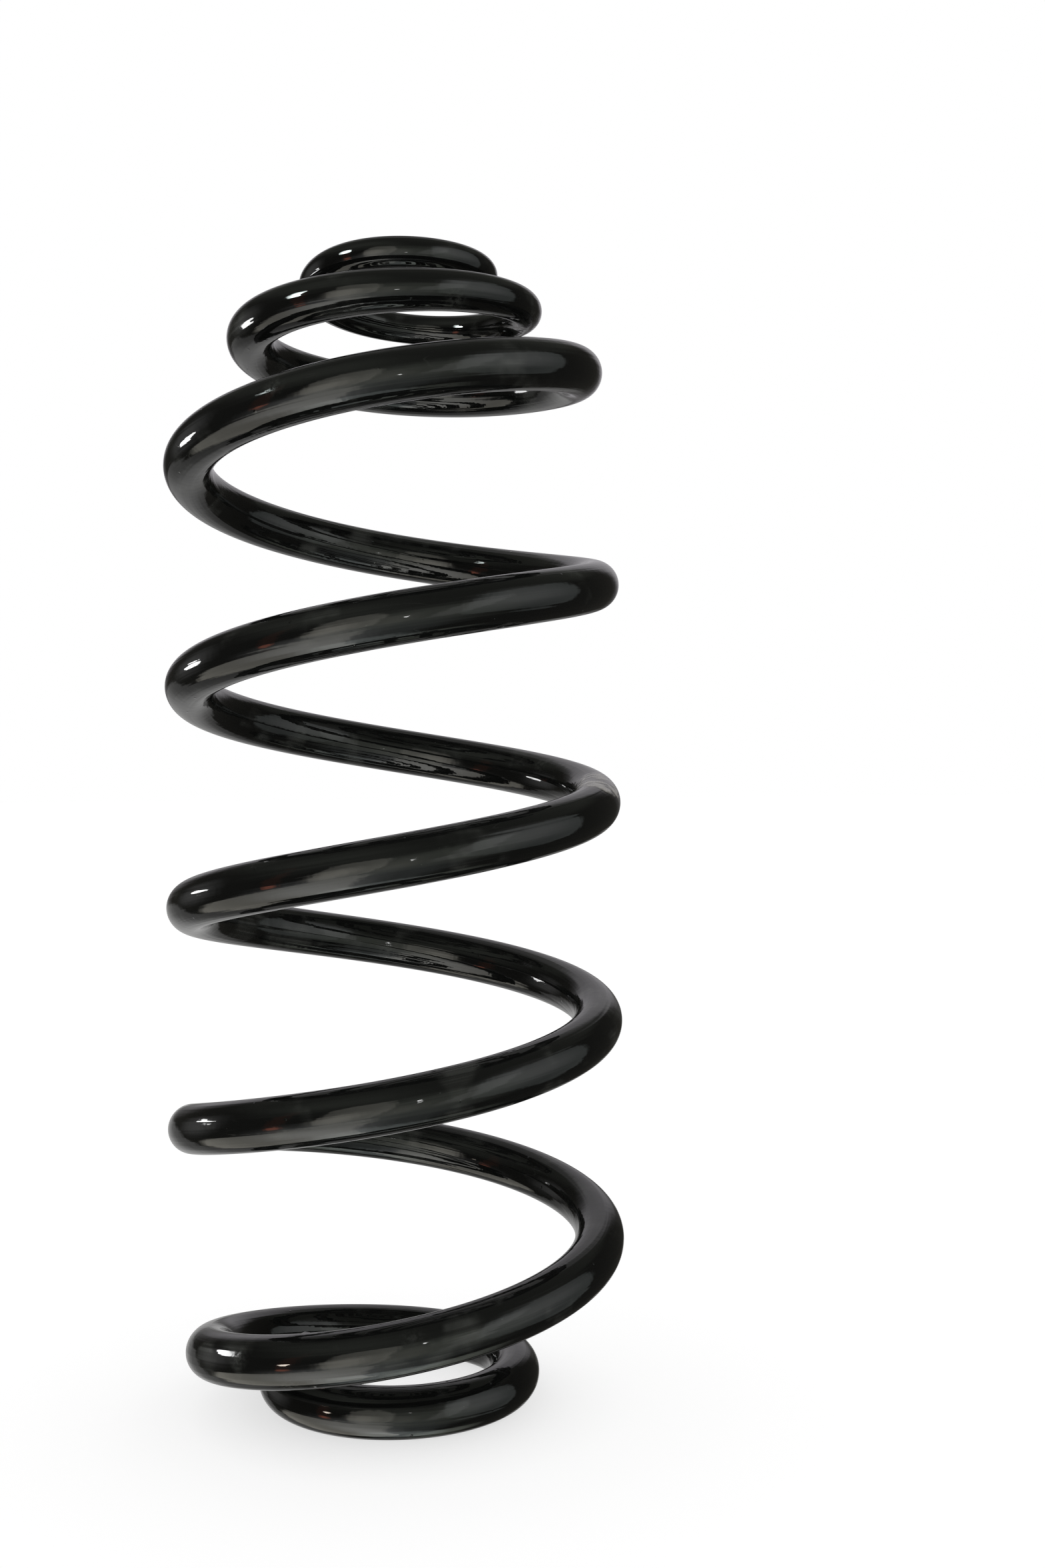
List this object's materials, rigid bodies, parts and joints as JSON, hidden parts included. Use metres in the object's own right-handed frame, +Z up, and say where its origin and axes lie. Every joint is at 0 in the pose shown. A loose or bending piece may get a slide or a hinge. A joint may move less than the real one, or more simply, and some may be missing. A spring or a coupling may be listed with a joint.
{
  "type": "coil spring",
  "caption": "Barrel-shaped suspension coil spring: one round steel bar with drawn-in end coils and a tapered upper end, in gloss black.",
  "frame": {"origin": "centre of the bounding box, in the plane that the lower end coil rests on, which is on the axis of the body coils", "axes": "+Z up the spring axis, from the lower seat to the upper seat; the bar rises anticlockwise seen from above, and starts 144 degrees round from +X"},
  "size_m": [0.1254, 0.1254, 0.3163],
  "materials": {
    "coating": "gloss black coating on spring steel"
  },
  "bodies": {
    "lower_end_coil": {"lower_end_coil_1": "coating", "lower_end_coil_2": "coating", "lower_end_coil_3": "coating"},
    "coil_quarter_01": {"active_coil_quarter_01": "coating"},
    "coil_quarter_02": {"active_coil_quarter_02": "coating"},
    "coil_quarter_03": {"active_coil_quarter_03": "coating"},
    "coil_quarter_04": {"active_coil_quarter_04": "coating"},
    "coil_quarter_05": {"active_coil_quarter_05": "coating"},
    "coil_quarter_06": {"active_coil_quarter_06": "coating"},
    "coil_quarter_07": {"active_coil_quarter_07": "coating"},
    "coil_quarter_08": {"active_coil_quarter_08": "coating"},
    "coil_quarter_09": {"active_coil_quarter_09": "coating"},
    "coil_quarter_10": {"active_coil_quarter_10": "coating"},
    "coil_quarter_11": {"active_coil_quarter_11": "coating"},
    "coil_quarter_12": {"active_coil_quarter_12": "coating"},
    "coil_quarter_13": {"active_coil_quarter_13": "coating"},
    "coil_quarter_14": {"active_coil_quarter_14": "coating"},
    "coil_quarter_15": {"active_coil_quarter_15": "coating"},
    "coil_quarter_16": {"active_coil_quarter_16": "coating"},
    "coil_quarter_17": {"active_coil_quarter_17": "coating"},
    "coil_quarter_18": {"active_coil_quarter_18": "coating"},
    "coil_quarter_19": {"active_coil_quarter_19": "coating"},
    "coil_quarter_20": {"active_coil_quarter_20": "coating"},
    "coil_quarter_21": {"active_coil_quarter_21": "coating"},
    "coil_quarter_22": {"active_coil_quarter_22": "coating"},
    "coil_quarter_23": {"active_coil_quarter_23": "coating"},
    "coil_quarter_24": {"active_coil_quarter_24": "coating"},
    "coil_quarter_25": {"active_coil_quarter_25": "coating"},
    "coil_quarter_26": {"active_coil_quarter_26": "coating"},
    "upper_end_coil": {"upper_end_coil_1": "coating", "upper_end_coil_2": "coating"}
  },
  "joints": [
    {"name": "compression_01", "type": "slide", "parent": "lower_end_coil", "child": "coil_quarter_01", "axis": [0, 0, -1], "range_m": [0, 0.000973], "stiffness_N_per_m": 1667000},
    {"name": "compression_02", "type": "slide", "parent": "coil_quarter_01", "child": "coil_quarter_02", "axis": [0, 0, -1], "range_m": [0, 0.00351], "stiffness_N_per_m": 1597000},
    {"name": "compression_03", "type": "slide", "parent": "coil_quarter_02", "child": "coil_quarter_03", "axis": [0, 0, -1], "range_m": [0, 0.00567], "stiffness_N_per_m": 988100},
    {"name": "compression_04", "type": "slide", "parent": "coil_quarter_03", "child": "coil_quarter_04", "axis": [0, 0, -1], "range_m": [0, 0.00608], "stiffness_N_per_m": 921500},
    {"name": "compression_05", "type": "slide", "parent": "coil_quarter_04", "child": "coil_quarter_05", "axis": [0, 0, -1], "range_m": [0, 0.00608], "stiffness_N_per_m": 921500},
    {"name": "compression", "type": "slide", "parent": "coil_quarter_05", "child": "coil_quarter_06", "axis": [0, 0, -1], "range_m": [0, 0.00608], "stiffness_N_per_m": 921500},
    {"name": "compression_07", "type": "slide", "parent": "coil_quarter_06", "child": "coil_quarter_07", "axis": [0, 0, -1], "range_m": [0, 0.00608], "stiffness_N_per_m": 921500},
    {"name": "compression_08", "type": "slide", "parent": "coil_quarter_07", "child": "coil_quarter_08", "axis": [0, 0, -1], "range_m": [0, 0.00608], "stiffness_N_per_m": 921500},
    {"name": "compression_09", "type": "slide", "parent": "coil_quarter_08", "child": "coil_quarter_09", "axis": [0, 0, -1], "range_m": [0, 0.00608], "stiffness_N_per_m": 921500},
    {"name": "compression_10", "type": "slide", "parent": "coil_quarter_09", "child": "coil_quarter_10", "axis": [0, 0, -1], "range_m": [0, 0.00608], "stiffness_N_per_m": 921500},
    {"name": "compression_11", "type": "slide", "parent": "coil_quarter_10", "child": "coil_quarter_11", "axis": [0, 0, -1], "range_m": [0, 0.00608], "stiffness_N_per_m": 921500},
    {"name": "compression_12", "type": "slide", "parent": "coil_quarter_11", "child": "coil_quarter_12", "axis": [0, 0, -1], "range_m": [0, 0.00608], "stiffness_N_per_m": 921500},
    {"name": "compression_13", "type": "slide", "parent": "coil_quarter_12", "child": "coil_quarter_13", "axis": [0, 0, -1], "range_m": [0, 0.00608], "stiffness_N_per_m": 921500},
    {"name": "compression_14", "type": "slide", "parent": "coil_quarter_13", "child": "coil_quarter_14", "axis": [0, 0, -1], "range_m": [0, 0.00608], "stiffness_N_per_m": 921500},
    {"name": "compression_15", "type": "slide", "parent": "coil_quarter_14", "child": "coil_quarter_15", "axis": [0, 0, -1], "range_m": [0, 0.00608], "stiffness_N_per_m": 921500},
    {"name": "compression_16", "type": "slide", "parent": "coil_quarter_15", "child": "coil_quarter_16", "axis": [0, 0, -1], "range_m": [0, 0.00608], "stiffness_N_per_m": 921500},
    {"name": "compression_17", "type": "slide", "parent": "coil_quarter_16", "child": "coil_quarter_17", "axis": [0, 0, -1], "range_m": [0, 0.00608], "stiffness_N_per_m": 921500},
    {"name": "compression_18", "type": "slide", "parent": "coil_quarter_17", "child": "coil_quarter_18", "axis": [0, 0, -1], "range_m": [0, 0.00608], "stiffness_N_per_m": 921500},
    {"name": "compression_19", "type": "slide", "parent": "coil_quarter_18", "child": "coil_quarter_19", "axis": [0, 0, -1], "range_m": [0, 0.00608], "stiffness_N_per_m": 921600},
    {"name": "compression_20", "type": "slide", "parent": "coil_quarter_19", "child": "coil_quarter_20", "axis": [0, 0, -1], "range_m": [0, 0.00537], "stiffness_N_per_m": 1043000},
    {"name": "compression_21", "type": "slide", "parent": "coil_quarter_20", "child": "coil_quarter_21", "axis": [0, 0, -1], "range_m": [0, 0.00335], "stiffness_N_per_m": 1667000},
    {"name": "compression_22", "type": "slide", "parent": "coil_quarter_21", "child": "coil_quarter_22", "axis": [0, 0, -1], "range_m": [0, 0.00231], "stiffness_N_per_m": 1667000},
    {"name": "compression_23", "type": "slide", "parent": "coil_quarter_22", "child": "coil_quarter_23", "axis": [0, 0, -1], "range_m": [0, 0.00342], "stiffness_N_per_m": 1638000},
    {"name": "compression_24", "type": "slide", "parent": "coil_quarter_23", "child": "coil_quarter_24", "axis": [0, 0, -1], "range_m": [0, 0.00626], "stiffness_N_per_m": 895000},
    {"name": "compression_25", "type": "slide", "parent": "coil_quarter_24", "child": "coil_quarter_25", "axis": [0, 0, -1], "range_m": [0, 0.00679], "stiffness_N_per_m": 825500},
    {"name": "compression_26", "type": "slide", "parent": "coil_quarter_25", "child": "coil_quarter_26", "axis": [0, 0, -1], "range_m": [0, 0.00378], "stiffness_N_per_m": 1482000},
    {"name": "compression_27", "type": "slide", "parent": "coil_quarter_26", "child": "upper_end_coil", "axis": [0, 0, -1], "range_m": [0, 0.00136], "stiffness_N_per_m": 1667000}
  ],
  "couplings": [
    {"joint": "compression_01", "follows": "compression", "ratio": 0.1599},
    {"joint": "compression_02", "follows": "compression", "ratio": 0.577},
    {"joint": "compression_03", "follows": "compression", "ratio": 0.9326},
    {"joint": "compression_04", "follows": "compression", "ratio": 1},
    {"joint": "compression_05", "follows": "compression", "ratio": 1},
    {"joint": "compression_07", "follows": "compression", "ratio": 1},
    {"joint": "compression_08", "follows": "compression", "ratio": 1},
    {"joint": "compression_09", "follows": "compression", "ratio": 1},
    {"joint": "compression_10", "follows": "compression", "ratio": 1},
    {"joint": "compression_11", "follows": "compression", "ratio": 1},
    {"joint": "compression_12", "follows": "compression", "ratio": 1},
    {"joint": "compression_13", "follows": "compression", "ratio": 1},
    {"joint": "compression_14", "follows": "compression", "ratio": 1},
    {"joint": "compression_15", "follows": "compression", "ratio": 1},
    {"joint": "compression_16", "follows": "compression", "ratio": 1},
    {"joint": "compression_17", "follows": "compression", "ratio": 1},
    {"joint": "compression_18", "follows": "compression", "ratio": 1},
    {"joint": "compression_19", "follows": "compression", "ratio": 0.9999},
    {"joint": "compression_20", "follows": "compression", "ratio": 0.8837},
    {"joint": "compression_21", "follows": "compression", "ratio": 0.5509},
    {"joint": "compression_22", "follows": "compression", "ratio": 0.3797},
    {"joint": "compression_23", "follows": "compression", "ratio": 0.5626},
    {"joint": "compression_24", "follows": "compression", "ratio": 1.0295},
    {"joint": "compression_25", "follows": "compression", "ratio": 1.1162},
    {"joint": "compression_26", "follows": "compression", "ratio": 0.6218},
    {"joint": "compression_27", "follows": "compression", "ratio": 0.2228}
  ]
}
